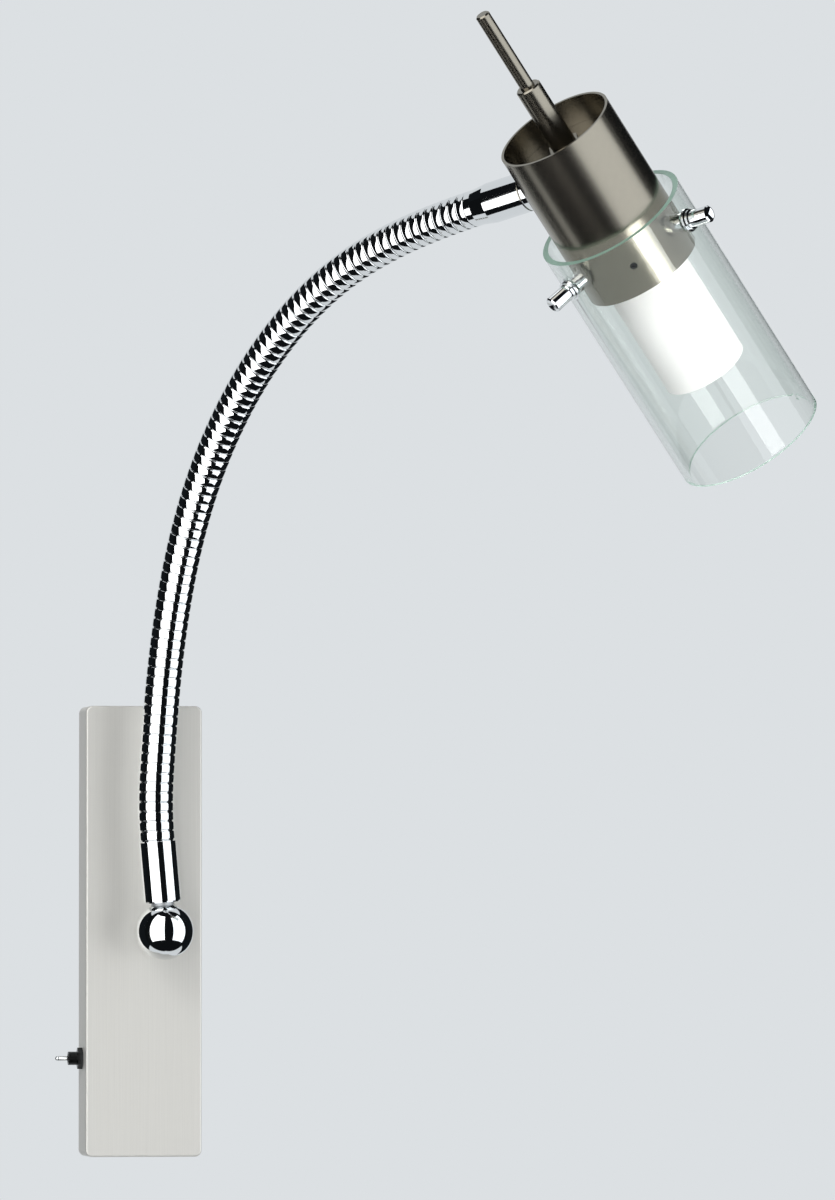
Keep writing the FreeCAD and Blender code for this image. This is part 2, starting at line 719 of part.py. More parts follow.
def head_nut():
    """Nut that holds the head to the neck."""
    return on_neck_end(nut(HEAD_NUT_FLATS, STUD_RADIUS + FIT,
                           NECK_TO_AXIS - HEAD_SPRING_FAR, NECK_TO_AXIS - HEAD_NUT_FAR))


# ---- Lamp head: Z up the handle, X the way the neck enters ----
def head_frame():
    """Where the head's axis crosses the neck's line, and how the head is turned."""
    level = Z_AXIS - NECK_AIM * NECK_AIM.z
    level = level / level.Length
    up = FreeCAD.Rotation(NECK_AIM, HEAD_ROLL).multVec(level)
    side = up.cross(NECK_AIM)
    matrix = FreeCAD.Matrix(
        NECK_AIM.x, side.x, up.x, 0,
        NECK_AIM.y, side.y, up.y, 0,
        NECK_AIM.z, side.z, up.z, 0,
        0, 0, 0, 1)
    placement = FreeCAD.Placement(matrix)
    placement.Base = NECK_END + NECK_AIM * NECK_TO_AXIS
    return placement


HEAD = head_frame()
NUT_CORNER = HEAD_NUT_FLATS / math.sqrt(3)
FLOOR_LOW = NUT_CORNER + FLOOR_ABOVE_NUT
FLOOR_TOP = FLOOR_LOW + FLOOR_THICK
RIM = FLOOR_TOP + CUP_DEPTH
HOLDER_END = -HOLDER_BELOW_NECK
SCREW_LEVEL = HOLDER_END + SCREWS_ABOVE_END
CARRIER_LOW = HOLDER_END + CARRIER_RECESS
CARRIER_TOP = CARRIER_LOW + CARRIER_HEIGHT
CARRIER_SCREW_LEVEL = CARRIER_TOP - CARRIER_SCREW_DROP
GLASS_TOP = SCREW_LEVEL + GLASS_ABOVE_SCREWS
GLASS_INNER = GLASS_RADIUS - GLASS_WALL
PLATE_TOP = -PLATE_BELOW_NECK
PLATE_LOW = PLATE_TOP - PLATE_THICK
SOCKET_LOW = PLATE_LOW - SOCKET_HEIGHT
SCREW_ANGLES = [360.0 * i / SCREW_COUNT for i in range(SCREW_COUNT)]
CARRIER_SCREW_ANGLE = -180.0 / SCREW_COUNT


def in_head(shape):
    """A shape built on the head's own axes, moved to its place."""
    copy = shape.copy()
    copy.Placement = HEAD.multiply(copy.Placement)
    return copy


def radial(shape, angle, level):
    """A shape whose Z axis runs outwards from the head's axis at an angle and a level."""
    a = math.radians(angle)
    return placed(shape, V(0, 0, level), V(math.cos(a), math.sin(a), 0))


def holder_tube():
    """Tube of the lamp holder, with holes for the nipple, the bosses and the carrier screw."""
    shell = tube(HOLDER_RADIUS, HOLDER_INNER, HOLDER_END, RIM)
    inside, outside = HOLDER_INNER - HOLDER_WALL, HOLDER_RADIUS + HOLDER_WALL
    shell = shell.cut(radial(cylinder(STUD_RADIUS + RUNNING, inside, outside), 180, 0))
    for angle in SCREW_ANGLES:
        shell = shell.cut(radial(cylinder(SCREW_RADIUS + RUNNING, inside, outside), angle,
                                 SCREW_LEVEL))
    return shell.cut(radial(cylinder(CARRIER_SCREW_RADIUS + FIT, inside, outside),
                            CARRIER_SCREW_ANGLE, CARRIER_SCREW_LEVEL))


def outer_saddle():
    """Polished washer, hollowed to sit on the holder's round outside."""
    block = tube(SADDLE_RADIUS, STUD_RADIUS + RUNNING, 0, OUTER_SEAT)
    return radial(block, 180, 0).cut(cylinder(HOLDER_RADIUS, -HOLDER_RADIUS, HOLDER_RADIUS))


def inner_saddle():
    """Washer with a round back that sits on the holder's inside."""
    block = tube(SPRING_RADIUS, STUD_RADIUS + RUNNING, INNER_SEAT, HOLDER_RADIUS)
    return radial(block, 180, 0).common(cylinder(HOLDER_INNER, -HOLDER_RADIUS, HOLDER_RADIUS))


def holder_floor():
    """Disc that closes the tube under its open top."""
    return tube(HOLDER_INNER - FIT, TIE_RADIUS + FIT, FLOOR_LOW, FLOOR_TOP)


STUB_LOW = FLOOR_TOP + STUB_NUT_THICK
STUB_TOP = STUB_LOW + STUB_LENGTH


def handle_stub():
    """Turned stub with a threaded tie rod below and a socket for the handle above."""
    chamfer = FERRULE_CHAMFER
    stub = turned([
        (0, PLATE_LOW),
        (TIE_RADIUS, PLATE_LOW),
        (TIE_RADIUS, STUB_LOW),
        (STUB_RADIUS - chamfer, STUB_LOW),
        (STUB_RADIUS, STUB_LOW + chamfer),
        (STUB_RADIUS, STUB_TOP - chamfer),
        (STUB_RADIUS - chamfer, STUB_TOP),
        (0, STUB_TOP)])
    return stub.cut(cylinder(HANDLE_RADIUS + FIT, STUB_TOP - HANDLE_GRIP, 2 * STUB_TOP))


def stub_nut():
    """Nut between the stub and the floor."""
    return nut(STUB_NUT_FLATS, TIE_RADIUS + FIT, FLOOR_TOP, STUB_LOW)


def handle_rod():
    """Slim rod to aim the hot head by."""
    top = STUB_TOP + HANDLE_STICKS_OUT
    chamfer = FERRULE_CHAMFER
    return turned([
        (0, STUB_TOP - HANDLE_GRIP),
        (HANDLE_RADIUS, STUB_TOP - HANDLE_GRIP),
        (HANDLE_RADIUS, top - chamfer),
        (HANDLE_RADIUS - chamfer, top),
        (0, top)])


def tie_nuts():
    """Nuts under the floor and on the socket plate."""
    bore = TIE_RADIUS + FIT
    return group([nut(TIE_NUT_FLATS, bore, FLOOR_LOW - TIE_NUT_THICK, FLOOR_LOW),
                  nut(TIE_NUT_FLATS, bore, PLATE_TOP, PLATE_TOP + TIE_NUT_THICK)])


def socket_plate():
    """Vented plate that hangs from the tie rod and carries the lamp socket."""
    plate = tube(HOLDER_INNER - PLATE_EDGE_GAP, TIE_RADIUS + FIT, PLATE_LOW, PLATE_TOP)
    for i in range(VENT_COUNT):
        a = 2 * math.pi * i / VENT_COUNT
        vent = cylinder(VENT_RADIUS, PLATE_LOW - 1, PLATE_TOP + 1)
        vent.translate(V(VENT_RING * math.cos(a), VENT_RING * math.sin(a), 0))
        plate = plate.cut(vent)
    for side in (-1, 1):
        hole = cylinder(SOCKET_SCREW_RADIUS + FIT, PLATE_LOW - 1, PLATE_TOP + 1)
        hole.translate(V(0, side * SOCKET_SCREW_OFFSET, 0))
        plate = plate.cut(hole)
    return plate


def ceramic_socket():
    """Ceramic socket with two pin holes below and two screw holes above."""
    body = cylinder(SOCKET_RADIUS, SOCKET_LOW, PLATE_LOW)
    for side in (-1, 1):
        pin = cylinder(PIN_RADIUS + FIT, SOCKET_LOW - 1, SOCKET_LOW + PIN_DEPTH + AIR)
        pin.translate(V(side * PIN_SPACING / 2, 0, 0))
        body = body.cut(pin)
        hole = cylinder(SOCKET_SCREW_RADIUS + FIT, PLATE_TOP - SOCKET_SCREW_LENGTH - AIR, PLATE_TOP)
        hole.translate(V(0, side * SOCKET_SCREW_OFFSET, 0))
        body = body.cut(hole)
    return body


def socket_screws():
    """Two screws from the plate into the socket."""
    screws = []
    for side in (-1, 1):
        screw = cylinder(SOCKET_SCREW_RADIUS, PLATE_TOP - SOCKET_SCREW_LENGTH, PLATE_TOP).fuse(
            cylinder(SOCKET_SCREW_HEAD_RADIUS, PLATE_TOP, PLATE_TOP + SOCKET_SCREW_RADIUS))
        screw.translate(V(0, side * SOCKET_SCREW_OFFSET, 0))
        screws.append(screw)
    return group(screws)


PINCH_TOP = SOCKET_LOW - AIR
CAPSULE_TOP = PINCH_TOP - PINCH_HEIGHT
CAPSULE_LOW = CAPSULE_TOP - CAPSULE_LENGTH


def capsule():
    """Halogen capsule: a domed quartz tube with a flat pinch above."""
    def domed(radius, low, high):
        dome = Part.makeSphere(radius, V(0, 0, low + radius))
        return cylinder(radius, low + radius, high).fuse(dome)

    bulb = domed(CAPSULE_RADIUS, CAPSULE_LOW, CAPSULE_TOP)
    bulb = bulb.fuse(Part.makeBox(PINCH_WIDTH, PINCH_THICK, PINCH_HEIGHT + CAPSULE_WALL, V(
        -PINCH_WIDTH / 2, -PINCH_THICK / 2, CAPSULE_TOP - CAPSULE_WALL)))
    bulb = bulb.cut(domed(CAPSULE_RADIUS - CAPSULE_WALL, CAPSULE_LOW + CAPSULE_WALL,
                          CAPSULE_TOP - CAPSULE_WALL))
    for side in (-1, 1):
        lead = cylinder(PIN_RADIUS + FIT, CAPSULE_TOP - 2 * CAPSULE_WALL, PINCH_TOP + 1)
        lead.translate(V(side * PIN_SPACING / 2, 0, 0))
        bulb = bulb.cut(lead)
    return bulb


def capsule_pins():
    """Contact pins that run on as leads to the filament."""
    filament_z = CAPSULE_TOP - FILAMENT_DEPTH
    pins = Part.makeCylinder(FILAMENT_RADIUS, PIN_SPACING + 2 * PIN_RADIUS, V(
        -PIN_SPACING / 2 - PIN_RADIUS, 0, filament_z), X_AXIS)
    for side in (-1, 1):
        pin = cylinder(PIN_RADIUS, filament_z, SOCKET_LOW + PIN_DEPTH)
        pin.translate(V(side * PIN_SPACING / 2, 0, 0))
        pins = pins.fuse(pin)
    return pins


# ---- Glasses ----
def inner_glass():
    """Frosted glass tube with a lip that rests on the carrier."""
    bore = INNER_GLASS_RADIUS - INNER_GLASS_WALL
    bottom = HOLDER_END - INNER_GLASS_BELOW
    return turned([
        (bore, bottom),
        (INNER_GLASS_RADIUS, bottom),
        (INNER_GLASS_RADIUS, CARRIER_TOP),
        (INNER_GLASS_RADIUS + LIP_WIDTH, CARRIER_TOP),
        (INNER_GLASS_RADIUS + LIP_WIDTH, CARRIER_TOP + LIP_THICK),
        (bore, CARRIER_TOP + LIP_THICK)])


CARRIER_OUTER = HOLDER_INNER - FIT


def glass_carrier():
    """Turned ring in the holder's end that the frosted glass hangs in."""
    body = tube(CARRIER_OUTER, INNER_GLASS_RADIUS + AIR, CARRIER_LOW, CARRIER_TOP)
    depth = CARRIER_SCREW_LENGTH
    return body.cut(radial(cylinder(CARRIER_SCREW_RADIUS + FIT, HOLDER_RADIUS - depth,
                                    HOLDER_RADIUS), CARRIER_SCREW_ANGLE, CARRIER_SCREW_LEVEL))


def carrier_screw():
    """Grub screw that holds the carrier in the holder."""
    socket = CARRIER_SCREW_RADIUS
    outer = HOLDER_RADIUS - FIT
    screw = cylinder(CARRIER_SCREW_RADIUS, HOLDER_RADIUS - CARRIER_SCREW_LENGTH + FIT, outer)
    screw = screw.cut(nut(socket, 0.01, outer - socket, outer + socket))
    return radial(screw, CARRIER_SCREW_ANGLE, CARRIER_SCREW_LEVEL)


def outer_glass():
    """Clear glass tube with three holes near its top."""
    glass = tube(GLASS_RADIUS, GLASS_INNER, GLASS_TOP - GLASS_LENGTH, GLASS_TOP)
    for angle in SCREW_ANGLES:
        glass = glass.cut(radial(cylinder(SCREW_RADIUS + SCREW_GUIDE, GLASS_INNER - GLASS_WALL,
                                          GLASS_RADIUS + GLASS_WALL), angle, SCREW_LEVEL))
    return glass


BOSS_END = GLASS_INNER - AIR
WASHER_SEAT = GLASS_RADIUS + FIT
SCREW_SEAT = WASHER_SEAT + WASHER_THICK + FIT


def screw_bosses():
    """Tapped bosses on the holder that space the glass off it."""
    keep_out = cylinder(HOLDER_RADIUS, HOLDER_END, RIM)
    boss = tube(BOSS_RADIUS, SCREW_RADIUS + RUNNING, HOLDER_RADIUS - 2 * HOLDER_WALL, BOSS_END)
    return group([radial(boss, angle, SCREW_LEVEL).cut(keep_out) for angle in SCREW_ANGLES])


def screw_washers():
    """Washers between the screw heads and the glass."""
    washer = tube(WASHER_RADIUS, SCREW_RADIUS + FIT, WASHER_SEAT, WASHER_SEAT + WASHER_THICK)
    return group([radial(washer, angle, SCREW_LEVEL) for angle in SCREW_ANGLES])


def thumb_screw(angle):
    """Long-headed screw turned by hand, with a collar and a dished end."""
    inner = HOLDER_INNER + HOLDER_WALL / 2
    end = SCREW_SEAT + HEAD_LENGTH
    collar = SCREW_SEAT + HEAD_COLLAR_LENGTH
    edge = FERRULE_CHAMFER
    screw = turned([
        (0, inner),
        (SCREW_RADIUS, inner),
        (SCREW_RADIUS, SCREW_SEAT),
        (HEAD_COLLAR_RADIUS, SCREW_SEAT),
        (HEAD_COLLAR_RADIUS, collar),
        (HEAD_RADIUS, collar),
        (HEAD_RADIUS, end - edge),
        (HEAD_RADIUS - edge, end),
        (HEAD_DISH_RADIUS, end),
        (0, end - HEAD_DISH_DEPTH)])
    return radial(screw, angle, SCREW_LEVEL)


# ---- Writing the pieces ----
def save(name, shape):
    if not shape.isValid():
        raise ValueError(name + " is not a valid solid")
    shape.exportStep("parts/" + name + ".step")
    print(name, len(shape.Solids), "solid(s)", round(shape.Volume, 1), "mm3")


def main():
    os.makedirs("parts", exist_ok=True)
    for build in (wall_bracket, wall_cover, cover_screws, cable_grommet, transformer_case,
                  transformer_lid, terminal_block, terminal_screws, earth_screw, switch_body,
                  switch_bush, switch_nut, toggle_lever, swivel_bush, bush_nut, swivel_spring,
                  swivel_nut, swivel_stud, swivel_ball, neck_nipple, lower_ferrule):
        save(build.__name__, build())
    for number in range(LINK_COUNT):
        save("neck_link_%02d" % (number + 1), neck_link(number))
    for build in (upper_ferrule, head_nipple, head_spring, head_nut):
        save(build.__name__, build())
    for build in (outer_saddle, inner_saddle, holder_tube, holder_floor, handle_stub, stub_nut,
                  handle_rod, tie_nuts, socket_plate, ceramic_socket, socket_screws, capsule,
                  capsule_pins, inner_glass, glass_carrier, carrier_screw, outer_glass,
                  screw_bosses, screw_washers):
        save(build.__name__, in_head(build()))
    for number, angle in enumerate(SCREW_ANGLES):
        save("thumb_screw_%d" % (number + 1), in_head(thumb_screw(angle)))


main()
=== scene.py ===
import json
import math

import bmesh
import bpy
from mathutils import Matrix, Vector


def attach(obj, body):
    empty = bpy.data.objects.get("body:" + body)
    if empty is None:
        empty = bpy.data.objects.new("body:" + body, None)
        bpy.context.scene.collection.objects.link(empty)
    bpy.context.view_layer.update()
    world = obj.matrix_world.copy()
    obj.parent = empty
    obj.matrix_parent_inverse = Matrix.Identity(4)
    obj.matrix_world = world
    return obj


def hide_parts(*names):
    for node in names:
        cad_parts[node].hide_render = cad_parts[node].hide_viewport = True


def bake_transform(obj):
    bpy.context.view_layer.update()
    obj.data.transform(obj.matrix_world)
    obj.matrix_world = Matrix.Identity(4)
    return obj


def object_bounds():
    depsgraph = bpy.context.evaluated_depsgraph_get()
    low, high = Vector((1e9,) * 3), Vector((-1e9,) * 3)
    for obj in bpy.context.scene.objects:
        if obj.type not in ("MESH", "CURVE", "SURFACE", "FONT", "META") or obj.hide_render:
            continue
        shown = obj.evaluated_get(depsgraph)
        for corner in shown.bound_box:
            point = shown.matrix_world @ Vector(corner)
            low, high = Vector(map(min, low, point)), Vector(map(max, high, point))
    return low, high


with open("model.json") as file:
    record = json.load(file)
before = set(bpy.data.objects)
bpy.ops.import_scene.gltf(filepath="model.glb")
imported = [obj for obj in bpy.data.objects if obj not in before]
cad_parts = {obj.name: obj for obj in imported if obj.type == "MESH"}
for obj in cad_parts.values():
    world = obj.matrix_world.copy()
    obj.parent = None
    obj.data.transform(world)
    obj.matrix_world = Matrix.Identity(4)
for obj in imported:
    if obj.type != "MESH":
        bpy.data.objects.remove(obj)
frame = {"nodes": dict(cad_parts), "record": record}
cad_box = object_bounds()
nodes = frame["nodes"]
joints = {joint["name"]: joint for joint in frame["record"]["behaviour"]["joints"]}

# ---- Camera ----
# A long lens, far off and a little to the left of the wall box, that looks slightly up, so that
# the head's circles and the box's edges run as the photograph shows them.
LENS_MM = 300.0
YAW, PITCH = math.radians(9.0), math.radians(1.9)
CAMERA_PLACE = Vector((-0.5601, -4.3176, -0.0002))

camera_data = bpy.data.cameras.new("camera")
camera_data.lens = LENS_MM
camera_data.sensor_width = 36.0
camera = bpy.data.objects.new("camera", camera_data)
bpy.context.scene.collection.objects.link(camera)
ahead = Vector((math.sin(YAW) * math.cos(PITCH), math.cos(YAW) * math.cos(PITCH), math.sin(PITCH)))
aside = Vector((math.cos(YAW), -math.sin(YAW), 0))
turn = Matrix((aside, aside.cross(ahead), -ahead)).transposed()
camera.matrix_world = Matrix.Translation(CAMERA_PLACE) @ turn.to_4x4()
bpy.context.scene.camera = camera
bpy.context.scene.view_settings.view_transform = "Standard"


def colour(code, alpha=1.0):
    """An sRGB hex colour as the linear colour that the shaders work in."""
    parts = [int(code[i:i + 2], 16) / 255 for i in (1, 3, 5)]
    return [p / 12.92 if p <= 0.04045 else ((p + 0.055) / 1.055) ** 2.4 for p in parts] + [alpha]


def add(tree, kind, settings=(), **links):
    """A node with its settings; each link names a socket and gives a value or another socket."""
    node = tree.nodes.new(kind)
    for key, value in dict(settings).items():
        setattr(node, key, value)
    for name, value in links.items():
        socket = node.inputs[int(name[1:])] if name[1:].isdigit() else \
            node.inputs[name.replace("_", " ")]
        if isinstance(value, bpy.types.NodeSocket):
            tree.links.new(value, socket)
        else:
            socket.default_value = value
    return node


# ---- Studio ----
# A pale backdrop and floor with soft lamps. Polished metal also mirrors two tall white panels in
# front of the lamp and the dark sides of the room, which only glossy rays meet.
STUDIO_CENTRE = Vector((0.08, -0.1, 0.12))
BACKDROP = "#DCE0E3"
SOFT_LIGHT = 0.55
WHITE_PANEL_DISTANCE = 1.4
DARK_ROOM_DISTANCE = 1.5
PANEL_STEPS = 16
FLOOR_HEIGHT = cad_box[0][2] - 1.3
FLOOR_HALF = 3.0


def seen_directly(tree):
    """1 for a ray from the eye, off a mirror or through glass, which meets the plain backdrop."""
    path = add(tree, "ShaderNodeLightPath")
    seen = path.outputs["Is Camera Ray"]
    for ray in ("Is Glossy Ray", "Is Transmission Ray"):
        seen = add(tree, "ShaderNodeMath", {"operation": "MAXIMUM"}, _0=seen,
                   _1=path.outputs[ray]).outputs[0]
    return seen


world = bpy.data.worlds.new("studio")
world.use_nodes = True
bpy.context.scene.world = world
tree = world.node_tree
tree.nodes.clear()
soft = add(tree, "ShaderNodeBackground", Color=colour("#FFFFFF"), Strength=SOFT_LIGHT)
pale = add(tree, "ShaderNodeBackground", Color=colour(BACKDROP), Strength=1.0)
mixed = add(tree, "ShaderNodeMixShader", _0=seen_directly(tree), _1=soft.outputs[0],
            _2=pale.outputs[0])
add(tree, "ShaderNodeOutputWorld", Surface=mixed.outputs[0])


def blank_material(name):
    """A material whose shader is still to be made."""
    material = bpy.data.materials.new(name)
    material.use_nodes = True
    material.node_tree.nodes.clear()
    return material


def placed(name, mesh, material):
    """An object in the scene, made of a mesh and one material."""
    mesh.materials.append(material)
    piece = bpy.data.objects.new(name, mesh)
    bpy.context.scene.collection.objects.link(piece)
    return piece


def panel(name, side, lift, distance, shade, strength):
    """A piece of a ball round the lamp, between two sideways and two upward angles in degrees.
    Sideways 0 is towards the room, and it grows to the right."""
    mesh = bmesh.new()
    rows = []
    for i in range(PANEL_STEPS + 1):
        up = math.radians(lift[0] + (lift[1] - lift[0]) * i / PANEL_STEPS)
        row = []
        for j in range(PANEL_STEPS + 1):
            across = math.radians(side[0] + (side[1] - side[0]) * j / PANEL_STEPS)
            way = Vector((math.sin(across) * math.cos(up), -math.cos(across) * math.cos(up),
                          math.sin(up)))
            row.append(mesh.verts.new(STUDIO_CENTRE + way * distance))
        rows.append(row)
    for low, high in zip(rows, rows[1:]):
        for j in range(PANEL_STEPS):
            mesh.faces.new((low[j], low[j + 1], high[j + 1], high[j]))
    data = bpy.data.meshes.new(name)
    mesh.to_mesh(data)
    mesh.free()
    material = blank_material(name)
    glow = add(material.node_tree, "ShaderNodeEmission", Color=colour(shade), Strength=strength)
    add(material.node_tree, "ShaderNodeOutputMaterial", Surface=glow.outputs[0])
    piece = placed(name, data, material)
    piece.visible_camera = False
    piece.visible_diffuse = False
    piece.visible_shadow = False
    piece.visible_transmission = False


panel("white_panel_left", (-74, -13), (-40, 60), WHITE_PANEL_DISTANCE, "#FFFFFF", 2.3)
panel("white_panel_right", (26, 84), (-40, 52), WHITE_PANEL_DISTANCE, "#F2F6FA", 1.9)
panel("dark_room_front", (-100, 100), (-88, 82), DARK_ROOM_DISTANCE, "#101214", 1.0)
panel("dark_room_left", (-150, -100), (-45, 45), DARK_ROOM_DISTANCE, "#14171A", 1.0)
panel("dark_room_right", (100, 150), (-45, 45), DARK_ROOM_DISTANCE, "#14171A", 1.0)


def lamp(name, place, size, watts):
    """A soft square lamp that faces the middle of the object and stays out of its mirrors."""
    data = bpy.data.lights.new(name, "AREA")
    data.shape = "SQUARE"
    data.size = size
    data.energy = watts
    light = bpy.data.objects.new(name, data)
    light.location = place
    light.rotation_euler = (STUDIO_CENTRE - Vector(place)).to_track_quat("-Z", "Y").to_euler()
    light.visible_glossy = False
    bpy.context.scene.collection.objects.link(light)


lamp("key_lamp", (-1.6, -2.2, 1.8), 1.2, 30)
lamp("fill_lamp", (1.6, -2.2, -0.4), 1.4, 38)
lamp("back_lamp", (0.6, 2.0, 1.6), 1.2, 24)

floor_mesh = bpy.data.meshes.new("floor")
floor_mesh.from_pydata([(x * FLOOR_HALF, y * FLOOR_HALF, FLOOR_HEIGHT) for x, y in
                        ((-1, -1), (1, -1), (1, 1), (-1, 1))], [], [(0, 1, 2, 3)])
floor_paint = blank_material("floor_paint")
tree = floor_paint.node_tree
matt = add(tree, "ShaderNodeBsdfDiffuse", Color=colour(BACKDROP))
plain = add(tree, "ShaderNodeEmission", Color=colour(BACKDROP), Strength=1.0)
mixed = add(tree, "ShaderNodeMixShader", _0=seen_directly(tree), _1=matt.outputs[0],
            _2=plain.outputs[0])
add(tree, "ShaderNodeOutputMaterial", Surface=mixed.outputs[0])
placed("floor", floor_mesh, floor_paint)

MM = 0.001


def finish_of(name, base, roughness, metallic=0.0, grain=None, tint=None, **sockets):
    """A material with a grain: noise of real sizes along X, Y and Z in millimetres, that varies
    the roughness, the colour towards a tint and, by a depth in millimetres, the surface."""
    material = bpy.data.materials.new(name)
    material.use_nodes = True
    tree = material.node_tree
    shader = tree.nodes["Principled BSDF"]
    shader.inputs["Metallic"].default_value = metallic
    shader.inputs["Roughness"].default_value = roughness
    shader.inputs["Base Color"].default_value = colour(base)
    for socket, value in sockets.items():
        shader.inputs[socket.replace("_", " ")].default_value = value
    if grain:
        size, depth, spread = grain
        place = add(tree, "ShaderNodeTexCoord")
        scaled = add(tree, "ShaderNodeMapping", Vector=place.outputs["Object"],
                     Scale=[1 / (s * MM) for s in size])
        noise = add(tree, "ShaderNodeTexNoise", Vector=scaled.outputs[0], Scale=1.0, Detail=3.0)
        rough = add(tree, "ShaderNodeMapRange", Value=noise.outputs[0], To_Min=roughness - spread,
                    To_Max=roughness + spread)
        tree.links.new(rough.outputs[0], shader.inputs["Roughness"])
        if tint:
            shade = add(tree, "ShaderNodeMix", {"data_type": "RGBA"}, _0=noise.outputs[0],
                        _6=colour(base), _7=colour(tint))
            tree.links.new(shade.outputs[2], shader.inputs["Base Color"])
        if depth:
            bump = add(tree, "ShaderNodeBump", Height=noise.outputs[0], Strength=1.0,
                       Distance=depth * MM)
            tree.links.new(bump.outputs[0], shader.inputs["Normal"])
    return material


def dress(material, *names):
    """Gives CAD pieces their finish."""
    for name in names:
        mesh = nodes[name].data
        mesh.materials.clear()
        mesh.materials.append(material)


# ---- Wall box ----
# A deep cover of sheet steel, nickel plated and brushed along its length, screwed at both ends to
# a zinc-plated bracket. The long strokes show as fine upright lines and scatter so much light that
# both platings look half matt.
brushed_nickel = finish_of("brushed_nickel", "#DAD9D4", 0.46, 0.55, ((0.3, 0.3, 45), 0.006, 0.06),
                           "#D0CFCA")
zinc_plate = finish_of("zinc_plate", "#C2C5C8", 0.4, 0.55, ((2, 2, 2), 0.0, 0.08), "#A9ADB0")
dress(brushed_nickel, "wall_cover", "swivel_bush")
dress(zinc_plate, "wall_bracket", "cover_screws", "earth_screw", "bush_nut", "swivel_spring",
      "swivel_nut", "swivel_stud", "neck_nipple", "head_nipple", "head_spring", "head_nut",
      "inner_saddle", "tie_nuts", "socket_plate", "socket_screws", "terminal_screws")

# ---- Parts inside the box ----
# Moulded plastic transformer, terminal block and switch body, and a rubber grommet round the
# cable's way in. Fine spark-eroded grain from the mould leaves them dull.
white_abs = finish_of("white_abs", "#E4E4DE", 0.5, 0, ((0.4, 0.4, 0.4), 0.02, 0.06), "#DCDCD6")
cream_nylon = finish_of("cream_nylon", "#D8D0BC", 0.45, 0, ((0.5, 0.5, 0.5), 0.01, 0.06))
black_phenolic = finish_of("black_phenolic", "#16171A", 0.4, 0, ((0.5, 0.5, 0.5), 0.01, 0.08))
black_rubber = finish_of("black_rubber", "#1A1A1A", 0.7, 0, ((0.6, 0.6, 0.6), 0.02, 0.08))
dress(white_abs, "transformer_case", "transformer_lid")
dress(cream_nylon, "terminal_block")
dress(black_phenolic, "switch_body")
dress(black_rubber, "cable_grommet")

# ---- Toggle switch, ball and ferrules ----
# Turned brass, polished and chromium plated. Nearly a mirror: it shows the white panels and the
# dark room, with the faint cloudiness of handled chrome. The switch's bush is black nickel.
chrome = finish_of("chrome_plate", "#E9EBEC", 0.05, 1.0, ((9, 9, 9), 0.0, 0.025))
black_nickel = finish_of("black_nickel", "#3A3B3C", 0.3, 1.0, ((1, 1, 1), 0.0, 0.05))
dress(chrome, "toggle_lever", "swivel_ball", "lower_ferrule", "upper_ferrule", "outer_saddle",
      "screw_bosses", "screw_washers", "thumb_screw_1", "thumb_screw_2", "thumb_screw_3")
dress(black_nickel, "switch_bush", "switch_nut")

# ---- Flexible neck ----
# Interlocked steel tube, chromium plated: 84 flat-topped ribs with narrow grooves between them.
# Each piece runs from the middle of one link to the middle of the next and bends over their joint.
RIBS_PER_LINK = 7
CUT_RIB = 4
NECK_SIDES = 72
GROOVE_RADIUS = 7.15 * MM
CROWN_RADIUS = 7.75 * MM
RIB_STEPS = ((0.0, 0.0), (0.04, 0.45), (0.09, 0.84), (0.17, 0.98), (0.5, 1.0), (0.83, 0.98),
             (0.91, 0.84), (0.96, 0.45))
FERRULE_LEAN = math.radians(5.0)
FERRULE_TOP = 39.2 * MM
HEAD_REACH = 57.0 * MM

neck_joints = sorted((j for j in joints.values() if j["name"].startswith("neck_")),
                     key=lambda j: j["name"][-2:])
swivel, head = joints["base_swivel"], joints["head_turn"]
first_way = Vector((-math.sin(FERRULE_LEAN), 0, math.cos(FERRULE_LEAN)))
stops = [Vector(swivel["pos_m"]) + first_way * FERRULE_TOP]
stops += [Vector(j["pos_m"]) for j in neck_joints]
stops.append(Vector(head["pos_m"]) - Vector(head["axis"]).normalized() * HEAD_REACH)
ways = [first_way]
for low, high in zip(stops, stops[1:]):
    chord = (high - low).normalized()
    ways.append(2 * ways[-1].dot(chord) * chord - ways[-1])


def on_neck(link, share):
    """Point and direction on a link's arc, at a share of its length."""
    first, last = ways[link], ways[link + 1]
    angle = first.angle(last)
    inward = (last - first * first.dot(last)).normalized()
    radius = (stops[link + 1] - stops[link]).length / (2 * math.sin(angle / 2))
    now = angle * share
    point = stops[link] + first * radius * math.sin(now) + inward * radius * (1 - math.cos(now))
    return point, first * math.cos(now) + inward * math.sin(now)


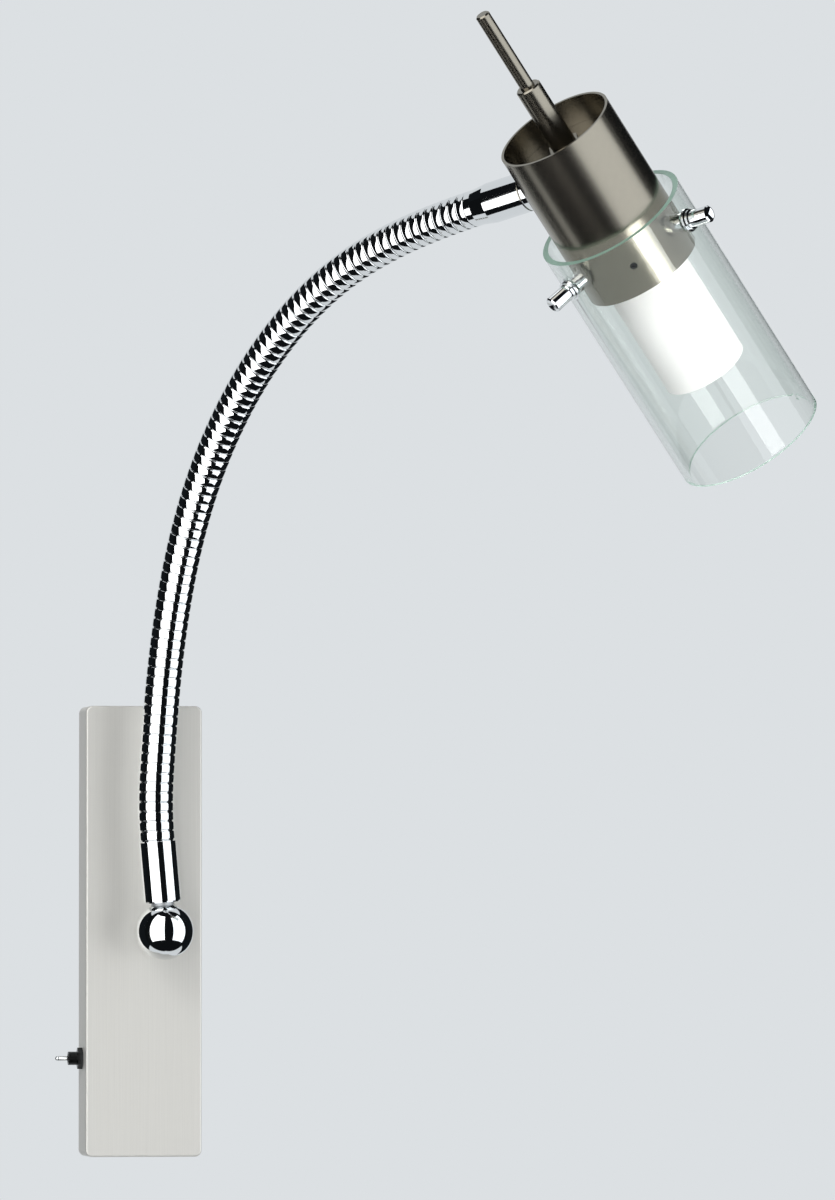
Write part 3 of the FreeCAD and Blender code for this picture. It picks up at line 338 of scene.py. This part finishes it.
def neck_piece(name, first_rib, last_rib):
    """Ribbed tube between two of the neck's 84 ribs, closed at both ends."""
    mesh = bmesh.new()
    rings = []
    steady = Vector((0.7, 0.7, 0))
    for rib in range(first_rib, last_rib + 1):
        for place, height in RIB_STEPS:
            if rib == last_rib and place > 0:
                break
            link, share = divmod(rib + place, RIBS_PER_LINK)
            if int(link) == len(stops) - 1:
                link, share = link - 1, RIBS_PER_LINK
            point, way = on_neck(int(link), share / RIBS_PER_LINK)
            out = (steady - way * steady.dot(way)).normalized()
            side = way.cross(out)
            radius = GROOVE_RADIUS + (CROWN_RADIUS - GROOVE_RADIUS) * height
            rings.append([mesh.verts.new(point + (out * math.cos(a) + side * math.sin(a)) * radius)
                          for a in (2 * math.pi * i / NECK_SIDES for i in range(NECK_SIDES))])
    for low, high in zip(rings, rings[1:]):
        for i in range(NECK_SIDES):
            j = (i + 1) % NECK_SIDES
            mesh.faces.new((low[i], low[j], high[j], high[i])).smooth = True
    mesh.faces.new(reversed(rings[0]))
    mesh.faces.new(rings[-1])
    data = bpy.data.meshes.new(name)
    mesh.to_mesh(data)
    mesh.free()
    piece = placed(name, data, chrome)
    return piece


link_count = len(stops) - 1
start_piece = neck_piece("neck_ribs_start", 0, CUT_RIB)
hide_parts("neck_link_01")
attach(start_piece, "swivel")
for number, joint in enumerate(neck_joints):
    piece = neck_piece("neck_ribs_%02d" % (number + 1), number * RIBS_PER_LINK + CUT_RIB,
                       (number + 1) * RIBS_PER_LINK + CUT_RIB)
    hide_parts("neck_link_%02d" % (number + 2))
    middle, way = stops[number + 1], ways[number + 1]
    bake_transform(piece)
end_piece = neck_piece("neck_ribs_end", (link_count - 1) * RIBS_PER_LINK + CUT_RIB,
                       link_count * RIBS_PER_LINK)
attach(end_piece, neck_joints[-1]["child"])

# ---- Lamp holder and handle ----
# Turned steel tube, stub and rod in satin nickel: a warm grey metal, blasted and lightly brushed,
# that spreads the panels into broad soft bands.
satin_nickel = finish_of("satin_nickel", "#8F8A7E", 0.24, 1.0, ((2.0, 2.0, 2.0), 0.0, 0.012),
                         "#8B867B")
steatite = finish_of("steatite", "#E2DDD0", 0.55, 0, ((0.6, 0.6, 0.6), 0.02, 0.06), "#D8D2C4")
tungsten = finish_of("tungsten", "#8C8C8C", 0.35, 1.0, ((0.3, 0.3, 0.3), 0.0, 0.05))
dress(satin_nickel, "holder_tube", "holder_floor", "handle_stub", "handle_rod", "stub_nut",
      "glass_carrier")
# The carrier's grub screw is black nickel: a real dark finish that also serves as painted shade
# for its recessed hole.
dress(black_nickel, "carrier_screw")
dress(steatite, "ceramic_socket")
dress(tungsten, "capsule_pins")

# ---- Glasses ----
# Clear drawn borosilicate outside and a frosted opal tube inside, acid etched to an even white.
# Where its wall is seen edge on, the clear glass turns dark green: partly the glass's own faint
# green where light runs along its wall, partly painted shade that outlines the tube. The cut rims,
# whose faces look along the tube's axis, are ground, so they look green. The halogen capsule is
# fused quartz.
GLASS_AXIS = (-0.5624705, -0.3242788, 0.7605723)
RIM_FACING = 0.9
clear_glass = finish_of("clear_glass", "#F8FBF9", 0.0, IOR=1.5, Transmission_Weight=1.0)
tree = clear_glass.node_tree
shader = tree.nodes["Principled BSDF"]
# Painted shade: the wall colour darkens to deep green where the wall is seen edge on, outlining
# the tube; part of that green is the glass's own.
edge_green_and_shade = add(tree, "ShaderNodeLayerWeight", Blend=0.1)
wall = add(tree, "ShaderNodeMix", {"data_type": "RGBA"}, _0=edge_green_and_shade.outputs["Facing"],
           _6=colour("#F8FBF9"), _7=colour("#4F7A6C"))
way = add(tree, "ShaderNodeTexCoord")
along = add(tree, "ShaderNodeVectorMath", {"operation": "DOT_PRODUCT"}, _0=way.outputs["Normal"],
            _1=GLASS_AXIS)
along = add(tree, "ShaderNodeMath", {"operation": "ABSOLUTE"}, _0=along.outputs["Value"])
rim = add(tree, "ShaderNodeMath", {"operation": "GREATER_THAN"}, _0=along.outputs[0],
          _1=RIM_FACING)
tinted = add(tree, "ShaderNodeMix", {"data_type": "RGBA"}, _0=rim.outputs[0],
             _6=wall.outputs[2], _7=colour("#9CC4B2"))
ground = add(tree, "ShaderNodeMapRange", Value=rim.outputs[0], To_Min=0.0, To_Max=0.5)
clear = add(tree, "ShaderNodeMapRange", Value=rim.outputs[0], To_Min=1.0, To_Max=0.35)
tree.links.new(tinted.outputs[2], shader.inputs["Base Color"])
tree.links.new(ground.outputs[0], shader.inputs["Roughness"])
tree.links.new(clear.outputs[0], shader.inputs["Transmission Weight"])
quartz = finish_of("quartz", "#F6F8FA", 0.0, IOR=1.46, Transmission_Weight=1.0)
etched_opal = finish_of("etched_opal", "#FBF8F7", 0.55, 0, ((1.5, 1.5, 1.5), 0.004, 0.05),
                        "#F3EDEC")
dress(clear_glass, "outer_glass")
nodes["outer_glass"].visible_shadow = False
dress(quartz, "capsule")
dress(etched_opal, "inner_glass")
